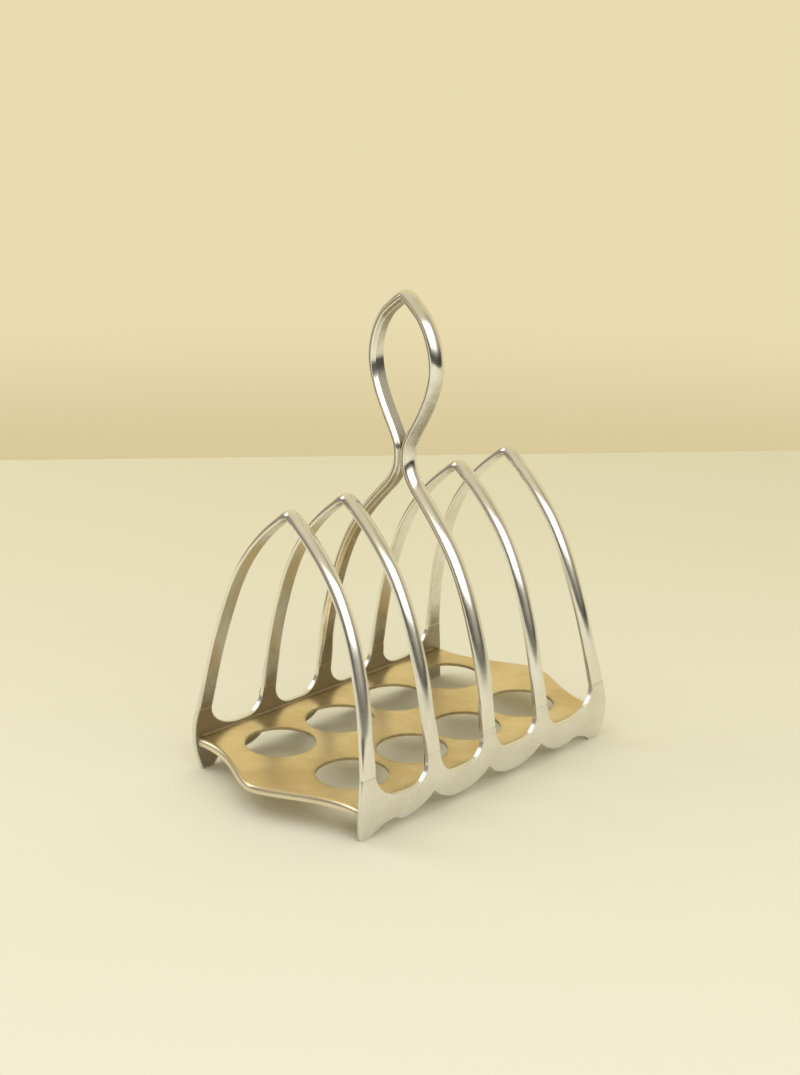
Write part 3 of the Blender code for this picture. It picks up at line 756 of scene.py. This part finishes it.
def fillet_strip(x_side, y_side, row):
    """Strip of the fillet beside one panel, cut where the panel's side is cut."""
    x, climb = fillet_columns()
    x, y = np.meshgrid(x, np.linspace(PANEL_Y[row], PANEL_Y[row + 1], SIDE_POINTS + 1))
    return patch(x_side * x, y_side * y, np.broadcast_to(FLOOR_Z + climb, x.shape))


print("hole radius", in_mm(HOLE_RADIUS), "mm at y", in_mm(HOLE_Y))

# %% Floor tongues
TONGUE_REACH, TONGUE_HALF, TONGUE_POWER = 11.7 * MM, 35.0 * MM, 0.8
RIM_DROP, RIM_RADIUS = 2.4 * MM, 1.5 * MM
FLAT_ROWS, RIM_ROWS = 7, 7
FADE_START = FLOOR_REACH - TONGUE_REACH - 2.5 * RIM_RADIUS  # the fillet fades out before the rim


def tongue_edge(x):
    """Distance of the floor's end from the middle: a raised cosine of share^0.8, which makes a soft point."""
    share = np.minimum(np.abs(x) / TONGUE_HALF, 1.0) ** TONGUE_POWER
    return FLOOR_REACH - TONGUE_REACH * (0.5 - 0.5 * np.cos(math.pi * share))


def tongue(y_side):
    """End of the floor: level rows out to the edge, then a quarter turn down and a short drop.

    Each rim row is the edge moved in along its own normal, so that the turned-down rim keeps its width.
    """
    half_x = np.linspace(0.0, PANEL_X, SIDE_POINTS + 1)
    out, climb = fillet_columns()
    half_x, half_climb = np.append(half_x, out[1:]), np.append(np.zeros(SIDE_POINTS + 1), climb[1:])
    x, climb = mirrored(half_x, -1.0), mirrored(half_climb, 1.0)
    slope = np.gradient(tongue_edge(x), x)
    length = np.sqrt(1 + slope**2)
    turn = np.linspace(math.pi / 2, 0.0, RIM_ROWS)
    inset = np.append(RIM_RADIUS * (1 - np.cos(turn)), 0.0)[:, None]
    height = FLOOR_Z - np.append(RIM_RADIUS * (1 - np.sin(turn)), RIM_DROP)[:, None]
    rim_x, rim_y = x + inset * slope / length, tongue_edge(x) - inset / length
    t = np.linspace(0.0, 1.0, FLAT_ROWS, endpoint=False)[:, None]
    flat_x, flat_y = (1 - t) * x + t * rim_x[:1], (1 - t) * PANEL_Y[2] + t * rim_y[:1]
    grid_x, grid_y = np.concatenate([flat_x, rim_x]), np.concatenate([flat_y, rim_y])
    fade = 1 - smooth((grid_y - FADE_START) / RIM_RADIUS)
    grid_z = np.concatenate([np.full_like(flat_x, FLOOR_Z), height + 0 * rim_x]) + climb * fade
    return patch(grid_x, y_side * grid_y, grid_z)


print("each tongue reaches", in_mm(TONGUE_REACH), "mm beyond the floor's corners")

# %% Floor sheet
SHEET = 1.0 * MM
SOFT_EDGE, SOFT_ANGLE = 0.22 * MM, math.radians(50)
FLOOR_RUB, RUB_DROP = 0.4, 0.4 * RIM_RADIUS  # rub of the turned-down rim, and the drop that brings it
HOLE_DARKENING, RIM_DARKENING = 0.5, 0.3
SIDE_GRIME_RUN, HOLE_DARKENING_RUN = 2.4 * MM, 0.9 * MM


def floor_darkening(points):
    """Darker along the galleries with tarnish, and darker around the holes and down the turned-down rims."""
    x, y, z = np.abs(points[:, 0]), np.abs(points[:, 1]), points[:, 2]
    wall = np.exp(-((WALL_X - x) / SIDE_GRIME_RUN))
    edge = np.min([np.hypot(x - HOLE_X, y - hole_y) for hole_y in HOLE_Y], axis=0) - HOLE_RADIUS
    hole = HOLE_DARKENING * np.exp(-edge / HOLE_DARKENING_RUN)
    return wall + hole + RIM_DARKENING * smooth((FLOOR_Z - z) / RIM_DROP - 0.5)


def floor_mesh(name):
    """All panels, fillets and tongues as one sheet, welded where they meet and facing up."""
    patches = [tongue(-1.0), tongue(1.0)]
    corners = [(x, y, row) for x in (-1.0, 1.0) for y in (-1.0, 1.0) for row in (0, 1)]
    patches += [make(*corner) for corner in corners for make in (hole_panel, fillet_strip)]
    starts = np.cumsum([0] + [len(points) for points, _ in patches[:-1]])
    points = np.concatenate([patch[0] for patch in patches])
    faces = np.concatenate([quads + start for (_, quads), start in zip(patches, starts)])
    rub = FLOOR_RUB * smooth((FLOOR_Z - points[:, 2]) / RUB_DROP)
    return metal_mesh(name, points, faces.tolist(), points[:, :2], floor_darkening(points), rub)


floor = place(floor_mesh("pierced_floor"), "base_plate", "floor_silver")
if floor.data.polygons[0].normal.z < 0:
    floor.data.flip_normals()
sheet = floor.modifiers.new("sheet", "SOLIDIFY")
sheet.thickness, sheet.offset, sheet.use_even_offset = SHEET, -1.0, True
soft = floor.modifiers.new("soft_edges", "BEVEL")
soft.width, soft.segments, soft.limit_method, soft.angle_limit = SOFT_EDGE, 2, "ANGLE", SOFT_ANGLE
print("floor sheet", in_mm(SHEET), "mm thick")

# %% [markdown]
# ## Silver plate
# Every piece is the same metal in a different state: polished handle and bars, satin galleries, a worn floor
# whose gold is partly a painted warm reflection.
# The states share three effects, each a node group that is built once: patina, fine polishing marks, and pits.
# A group only gives colours, masks and heights, and the shader stays outside.

# %% Node helpers
def feed(node, inputs):
    """Link sockets to a node's inputs, or set the inputs' values."""
    for name, value in inputs.items():
        if isinstance(value, bpy.types.NodeSocket):
            node.id_data.links.new(value, node.inputs[name])
        else:
            node.inputs[name].default_value = value


def add_node(tree, kind, inputs=None, **settings):
    """Outputs of a new node, with settings as its properties and inputs to feed."""
    node = tree.nodes.new(kind)
    for name, value in settings.items():
        setattr(node, name, value)
    feed(node, inputs or {})
    return node.outputs


def math_node(operation, *values, clamp=False):
    """Result of one piece of arithmetic on sockets and numbers."""
    tree = next(value.id_data for value in values if isinstance(value, bpy.types.NodeSocket))
    inputs = dict(enumerate(values))
    return add_node(tree, "ShaderNodeMath", inputs, operation=operation, use_clamp=clamp)[0]


def ease_node(value, low, high, to_low=0.0, to_high=1.0):
    """Value eased from one range into another."""
    inputs = dict(enumerate((value, low, high, to_low, to_high)))
    return add_node(value.id_data, "ShaderNodeMapRange", inputs, interpolation_type="SMOOTHSTEP")[0]


def noise_node(vector, scale, detail, roughness=0.55):
    """Soft noise between 0 and 1 at a scale in ripples per metre."""
    inputs = {"Vector": vector, "Scale": scale, "Detail": detail, "Roughness": roughness}
    return add_node(vector.id_data, "ShaderNodeTexNoise", inputs)[0]


def mix_colours(share, a, b):
    """Colour a turning into colour b as share goes from 0 to 1."""
    return add_node(share.id_data, "ShaderNodeMix", {0: share, 6: a, 7: b}, data_type="RGBA")[2]


def dot_node(a, b):
    """How far one direction or place goes along another."""
    return add_node(a.id_data, "ShaderNodeVectorMath", {0: a, 1: b}, operation="DOT_PRODUCT")["Value"]


def new_group(name, takes, gives):
    """Empty node group with its inputs and outputs; the default of an input sets its kind."""
    tree = bpy.data.node_groups.new(name, "ShaderNodeTree")
    kinds = {float: "NodeSocketFloat", tuple: "NodeSocketColor", str: "NodeSocketVector"}
    for label, value in takes.items():
        socket = tree.interface.new_socket(label, in_out="INPUT", socket_type=kinds[type(value)])
        if not isinstance(value, str):
            socket.default_value = value
    for label, value in gives.items():
        tree.interface.new_socket(label, in_out="OUTPUT", socket_type=kinds[type(value)])
    return tree, tree.nodes.new("NodeGroupInput").outputs, tree.nodes.new("NodeGroupOutput")


def new_material(name):
    """New material with its node tree and its shader."""
    material = bpy.data.materials.new(name)
    material.use_nodes = True
    return material, material.node_tree, material.node_tree.nodes["Principled BSDF"]


# %% [markdown]
# Silver yellows and browns where it isn't rubbed, and the same brown is used as painted shade. Painted by hand
# that would suit one piece only, so it is worked out: slow clouds dull the metal, grime, painted shade and a
# fine speckle brown it, and rub takes both off again.

# %% Patina group
# The tarnish colour is also the brown of painted shade.
BARE, TARNISH_AND_SHADE = (0.90, 0.89, 0.86, 1.0), (0.24, 0.185, 0.11, 1.0)
CLOUDS, SPECKS = 55.0, 420.0  # ripples per metre
DULL_RANGE, STAIN_AND_SHADE_RANGE, RUB_RANGE = (0.4, 0.85), (0.15, 1.1), (0.2, 0.5, 0.6, 1.0)
SPECK_IN_DULL, SPECK_IN_STAIN, CLOUD_IN_STAIN, DULL_IN_MASK = 0.2, 0.4, 0.2, 0.4


def patina_group():
    """Silver from bright to dull in clouds, browned by grime and painted shade, and bare where it is rubbed."""
    takes = {"Place": "vector", "Grime and shade": 0.0, "Rub": 0.0, "Bare": BARE, "Bright": BARE, "Dull": BARE,
             "Tarnish and shade": TARNISH_AND_SHADE, "Amount": 0.5}
    tree, source, result = new_group("patina", takes, {"Colour": BARE, "Mask": 0.0})
    cloud = noise_node(source["Place"], CLOUDS, 4.0)
    speck = noise_node(source["Place"], SPECKS, 3.0, 0.65)
    dulling = ease_node(math_node("MULTIPLY_ADD", speck, SPECK_IN_DULL, cloud), *DULL_RANGE)
    colour = mix_colours(dulling, source["Bright"], source["Dull"])
    ragged = math_node("MULTIPLY_ADD", math_node("SUBTRACT", speck, 0.5), SPECK_IN_STAIN, source["Grime and shade"])
    stain_and_shade = ease_node(math_node("MULTIPLY_ADD", cloud, CLOUD_IN_STAIN, ragged), *STAIN_AND_SHADE_RANGE)
    stain_and_shade = math_node("MULTIPLY", stain_and_shade, source["Amount"], clamp=True)
    rubbed = math_node("MULTIPLY", source["Rub"], ease_node(speck, *RUB_RANGE))
    stained_and_shaded = mix_colours(stain_and_shade, colour, source["Tarnish and shade"])
    mask = math_node("MAXIMUM", stain_and_shade, math_node("MULTIPLY", dulling, DULL_IN_MASK))
    feed(result, {"Colour": mix_colours(rubbed, stained_and_shaded, source["Bare"]),
                  "Mask": math_node("MULTIPLY", mask, math_node("SUBTRACT", 1.0, rubbed))})
    return tree


patina = patina_group()
print("patina takes", [item.name for item in patina.interface.items_tree if item.in_out == "INPUT"])

# %% [markdown]
# A polishing mop leaves hair-fine lines, and hand finishing a slow waviness: noise stretched along the lay map,
# and slow noise in space. Pits are the middles of some of a cell pattern's cells.

# %% Polishing marks and pits
FINE_LINES, COARSE_LINES = (60.0, 5200.0, 1.0), (140.0, 1500.0, 1.0)  # ripples per metre along and across
LINE_BREAKS, SLOW_WAVES = 130.0, 95.0
BREAK_RANGE, HOLLOW_RANGE = (0.35, 0.65, 0.35, 1.0), (0.05, 0.24, 1.0, 0.0)


def line_noise(lay, scale):
    """Noise stretched into lines along the lay."""
    stretched = add_node(lay.id_data, "ShaderNodeMapping", {"Vector": lay, "Scale": scale})[0]
    return noise_node(stretched, 1.0, 2.0)


def marks_group():
    """Hair-fine lines along the lay, broken up by clouds, and a slow waviness from hand finishing."""
    takes = {"Lay": "vector", "Place": "vector", "Lines": 0.5, "Waves": 0.5}
    tree, source, result = new_group("polishing_marks", takes, {"Height": 0.0, "Gloss": 0.0})
    fine, coarse = (line_noise(source["Lay"], scale) for scale in (FINE_LINES, COARSE_LINES))
    lines = math_node("SUBTRACT", math_node("ADD", fine, coarse), 1.0)
    cloud = ease_node(noise_node(source["Place"], LINE_BREAKS, 2.0), *BREAK_RANGE)
    lines = math_node("MULTIPLY", math_node("MULTIPLY", lines, cloud), source["Lines"])
    waves = math_node("SUBTRACT", noise_node(source["Place"], SLOW_WAVES, 1.0), 0.5)
    feed(result, {"Height": math_node("MULTIPLY_ADD", waves, source["Waves"], lines),
                  "Gloss": math_node("ABSOLUTE", lines)})
    return tree


def pits_group():
    """Scattered pits: small round hollows in the middles of some of a cell pattern's cells."""
    takes = {"Place": "vector", "Scale": 300.0, "Share": 0.3}
    tree, source, result = new_group("pits", takes, {"Height": 0.0})
    cells = add_node(tree, "ShaderNodeTexVoronoi", {"Vector": source["Place"], "Scale": source["Scale"]})
    hollow = ease_node(cells["Distance"], *HOLLOW_RANGE)
    pick = add_node(tree, "ShaderNodeSeparateColor", {0: cells["Color"]})[0]
    hollow = math_node("MULTIPLY", hollow, math_node("LESS_THAN", pick, source["Share"]))
    feed(result, {"Height": math_node("MULTIPLY", hollow, -1.0)})
    return tree


marks, pits = marks_group(), pits_group()
print("groups:", [group.name for group in bpy.data.node_groups])

# %% [markdown]
# Each finish places the three groups with its own values. Heights go through a bump whose distance is a real
# depth in metres, so a scratch stays a scratch at any scale, and dull, stained or painted-shade places are
# rougher.

# %% The four finishes
SILVER, GREY_SILVER = (0.87, 0.86, 0.83, 1.0), (0.78, 0.76, 0.70, 1.0)
# The floor's gold is partly its own warm tarnish and partly a painted warm reflection.
GOLD_TINGE_AND_REFLECTION, DEEP_GOLD_AND_REFLECTION = (0.82, 0.70, 0.45, 1.0), (0.68, 0.54, 0.31, 1.0)
MARK_DEPTH, PIT_DEPTH = 0.06 * MM, 0.6  # pits as a share of the marks' depth
PIT_CELLS = 420.0  # per metre
STAIN_ROUGHNESS, LINE_ROUGHNESS = 0.22, 0.25
# The tarnish amount also sets how dark the painted shade comes out.
FINISHES = {  # for each slot: name, bright, dull, roughness, tarnish, lines, waves and share of cells with pits
    "handle_silver": ("polished_handle", SILVER, GREY_SILVER, 0.13, 0.85, 0.15, 0.2, 0.0),
    "bar_silver": ("polished_bars", SILVER, GREY_SILVER, 0.13, 0.8, 0.15, 0.25, 0.0),
    "gallery_silver": ("satin_gallery", SILVER, GREY_SILVER, 0.22, 0.8, 0.15, 0.3, 0.04),
    "floor_silver": ("worn_floor", GOLD_TINGE_AND_REFLECTION, DEEP_GOLD_AND_REFLECTION, 0.27, 0.8, 0.2, 0.5, 0.06),
}


def silver_plate(name, bright, dull, rough, tarnish_and_shade_amount, lines, waves, pit_share):
    """Silver plate whose shader is fed by the patina, marks and pits."""
    material, tree, shader = new_material(name)
    where = add_node(tree, "ShaderNodeTexCoord")["Object"]
    lay = add_node(tree, "ShaderNodeUVMap", uv_map="lay")[0]
    grime_and_shade = add_node(tree, "ShaderNodeAttribute", attribute_name="grime_and_shade")["Fac"]
    rub = add_node(tree, "ShaderNodeAttribute", attribute_name="rub")["Fac"]
    takes = {"Place": where, "Grime and shade": grime_and_shade, "Rub": rub, "Bright": bright, "Dull": dull, "Amount": tarnish_and_shade_amount}
    stain_and_shade = add_node(tree, "ShaderNodeGroup", takes, node_tree=patina)
    takes = {"Lay": lay, "Place": where, "Lines": lines, "Waves": waves}
    worn = add_node(tree, "ShaderNodeGroup", takes, node_tree=marks)
    takes = {"Place": where, "Scale": PIT_CELLS, "Share": pit_share}
    holes = add_node(tree, "ShaderNodeGroup", takes, node_tree=pits)
    height = math_node("MULTIPLY_ADD", holes["Height"], PIT_DEPTH, worn["Height"])
    takes = {"Height": height, "Strength": 1.0, "Distance": MARK_DEPTH}
    rough = math_node("MULTIPLY_ADD", stain_and_shade["Mask"], STAIN_ROUGHNESS, rough)
    rough = math_node("MULTIPLY_ADD", worn["Gloss"], LINE_ROUGHNESS, rough)
    bump = add_node(tree, "ShaderNodeBump", takes)[0]
    feed(shader, {"Base Color": stain_and_shade["Colour"], "Roughness": rough, "Normal": bump, "Metallic": 1.0})
    return material


finishes = {slot: silver_plate(*values) for slot, values in FINISHES.items()}
for piece, slot in pieces:
    piece.data.materials.append(finishes[slot])
print("finishes:", sorted(finishes))

# %% [markdown]
# ## The table
# The rack stands on a cream cloth-covered table in front of a cream wall. A plane would do for the top, but its
# far edge shows, so the top is a short profile with a rounded nose, carried sideways.

# %% Table top
# Towards the wall the cloth is darkened with painted shade, where less light reaches.
TABLE_NEAR, TABLE_FAR_SHADED = (0.82, 0.83, 0.77, 1.0), (0.75, 0.735, 0.58, 1.0)
SHADE_RANGE, CLOTH_ROUGHNESS = (-0.30, 0.40), 0.9  # metres behind the rack over which the cloth deepens
EDGE_BEHIND, EDGE_SKEW = 352.0 * MM, 0.073
EDGE_RIGHT, TABLE_REACH = 650.0 * MM, 1.2
NOSE, NOSE_POINTS, EDGE_DROP = 6.0 * MM, 9, 50.0 * MM
away = np.array([-math.sin(az), math.cos(az), 0.0])
sideways = np.array([math.cos(az), math.sin(az), 0.0])


def table_mesh(name):
    """Flat top ending in a quarter-round nose: rows of (distance behind, height), carried sideways."""
    turn = np.linspace(0.0, math.pi / 2, NOSE_POINTS)
    behind = np.concatenate([[-TABLE_REACH], EDGE_BEHIND - NOSE + NOSE * np.sin(turn), [EDGE_BEHIND]])
    height = np.concatenate([[0.0], -NOSE * (1 - np.cos(turn)), [-EDGE_DROP]])
    side = np.array([-TABLE_REACH, EDGE_RIGHT])
    skew = np.where(behind > 0, EDGE_SKEW, 0.0)[:, None] * side
    points = (behind[:, None] + skew)[..., None] * away + side[None, :, None] * sideways
    points[..., 2] = height[:, None]
    mesh = bpy.data.meshes.new(name)
    mesh.from_pydata(points.reshape(-1, 3).tolist(), [], grid_quads(len(behind), 2).tolist())
    mesh.shade_smooth()
    return mesh


def table_cloth(name):
    """Matt cream cloth, darker towards the wall with painted shade."""
    material, tree, shader = new_material(name)
    behind = dot_node(add_node(tree, "ShaderNodeTexCoord")["Object"], away)
    colour = mix_colours(ease_node(behind, *SHADE_RANGE), TABLE_NEAR, TABLE_FAR_SHADED)
    feed(shader, {"Base Color": colour, "Roughness": CLOTH_ROUGHNESS, "Specular IOR Level": 0.0})
    return material


table = add_object("table_top", table_mesh("table_top"))
table.data.materials.append(table_cloth("table_cloth"))
print("table edge", in_mm(EDGE_BEHIND), "mm behind the rack")

# %% [markdown]
# ## The room
# Silver shows mostly what is around it, so the room matters more than the lamps. The camera sees only the wall's
# colour. The metal sees a colour for each direction: dark near the horizon and pale above, with a warm side, a
# pale side and the same wall behind.

# %% Room
WALL_LOW, WALL_HIGH = (0.69, 0.58, 0.325, 1.0), (0.82, 0.715, 0.435, 1.0)
WALL_CLIMB, WARM_CLIMB = (-0.295, -0.225), (0.0, 0.25)  # heights of a direction over which a colour changes
PALE_SIDE, WARM_SIDE = (0.30, 0.27, 0.21, 1.0), (0.44, 0.40, 0.30, 1.0)
WARM_TURN, WALL_TURN, PALE_TURN = (0.35, 0.8), (0.1, 0.5), (0.3, 0.8)
ROOM = ((0.0, (0.05, 0.045, 0.04, 1)), (0.47, (0.04, 0.037, 0.033, 1)), (0.535, (0.06, 0.055, 0.05, 1)),
        (0.64, (0.36, 0.33, 0.26, 1)), (0.85, (0.70, 0.63, 0.45, 1)), (1.0, (0.74, 0.66, 0.46, 1)))

world = bpy.data.worlds.new("cream_room")
bpy.context.scene.world = world
world.use_nodes = True
tree = world.node_tree
way = add_node(tree, "ShaderNodeTexCoord")["Generated"]
climb = add_node(tree, "ShaderNodeSeparateXYZ", {0: way})[2]
wall = mix_colours(ease_node(climb, *WALL_CLIMB), WALL_LOW, WALL_HIGH)
ramp = add_node(tree, "ShaderNodeValToRGB", {0: math_node("MULTIPLY_ADD", climb, 0.5, 0.5)})[0]
stops = ramp.node.color_ramp.elements
while len(stops) < len(ROOM):
    stops.new(0.5)
for stop, (position, colour) in zip(stops, ROOM):
    stop.position, stop.color = position, colour
warm = ease_node(dot_node(way, sideways), *WARM_TURN)
warm = math_node("MULTIPLY", warm, ease_node(climb, *WARM_CLIMB))
room = mix_colours(warm, ramp, WARM_SIDE)
room = mix_colours(ease_node(dot_node(way, away), *WALL_TURN), room, wall)
room = mix_colours(ease_node(dot_node(way, -sideways), *PALE_TURN), room, PALE_SIDE)
seen = add_node(tree, "ShaderNodeLightPath")["Is Camera Ray"]
feed(tree.nodes["Background"], {"Color": mix_colours(seen, room, wall)})
print("room colours:", len(ROOM))

# %% [markdown]
# ## The lamps
# A wide soft lamp hangs overhead, and a window on each side puts long bright lines on the strips. A lamp's
# power could be tuned by eye; here it follows from its size and from how bright a mirror would show it.

# %% Lamps
NEUTRAL, WARM_WHITE = (1.0, 0.99, 0.98), (1.0, 0.985, 0.96)


def soft_lamp(name, toward, distance, size, brightness, colour, mirrored=True):
    """Rectangular lamp that faces the rack from a direction; brightness is what a mirror would show."""
    toward = np.array(toward) / np.linalg.norm(toward)
    light = bpy.data.lights.new(name, "AREA")
    light.shape, light.size, light.size_y = "RECTANGLE", *size
    light.energy = brightness * math.pi * size[0] * size[1]
    light.color = colour
    lamp = add_object(name, light)
    stand(lamp, AIM + distance * toward, axes_from(toward))
    lamp.visible_camera = False
    lamp.visible_glossy = mirrored
    print(name, "at", np.round(AIM + distance * toward, 2))


soft_lamp("ceiling", (-0.15, -0.2, 1.0), 1.5, (1.7, 1.7), 0.69, WARM_WHITE, mirrored=False)
soft_lamp("window_right", (0.87, -0.20, 0.57), 1.3, (1.9, 0.8), 1.4, NEUTRAL)
soft_lamp("window_left", (-0.8, -0.45, 0.7), 1.4, (0.8, 0.8), 2.0, WARM_WHITE)

# %% [markdown]
# ## Finishing
# Colours should come out as written, so the view is Standard. Silver plate adds no size to the solids.

# %% Finish
bpy.context.scene.view_settings.view_transform = "Standard"
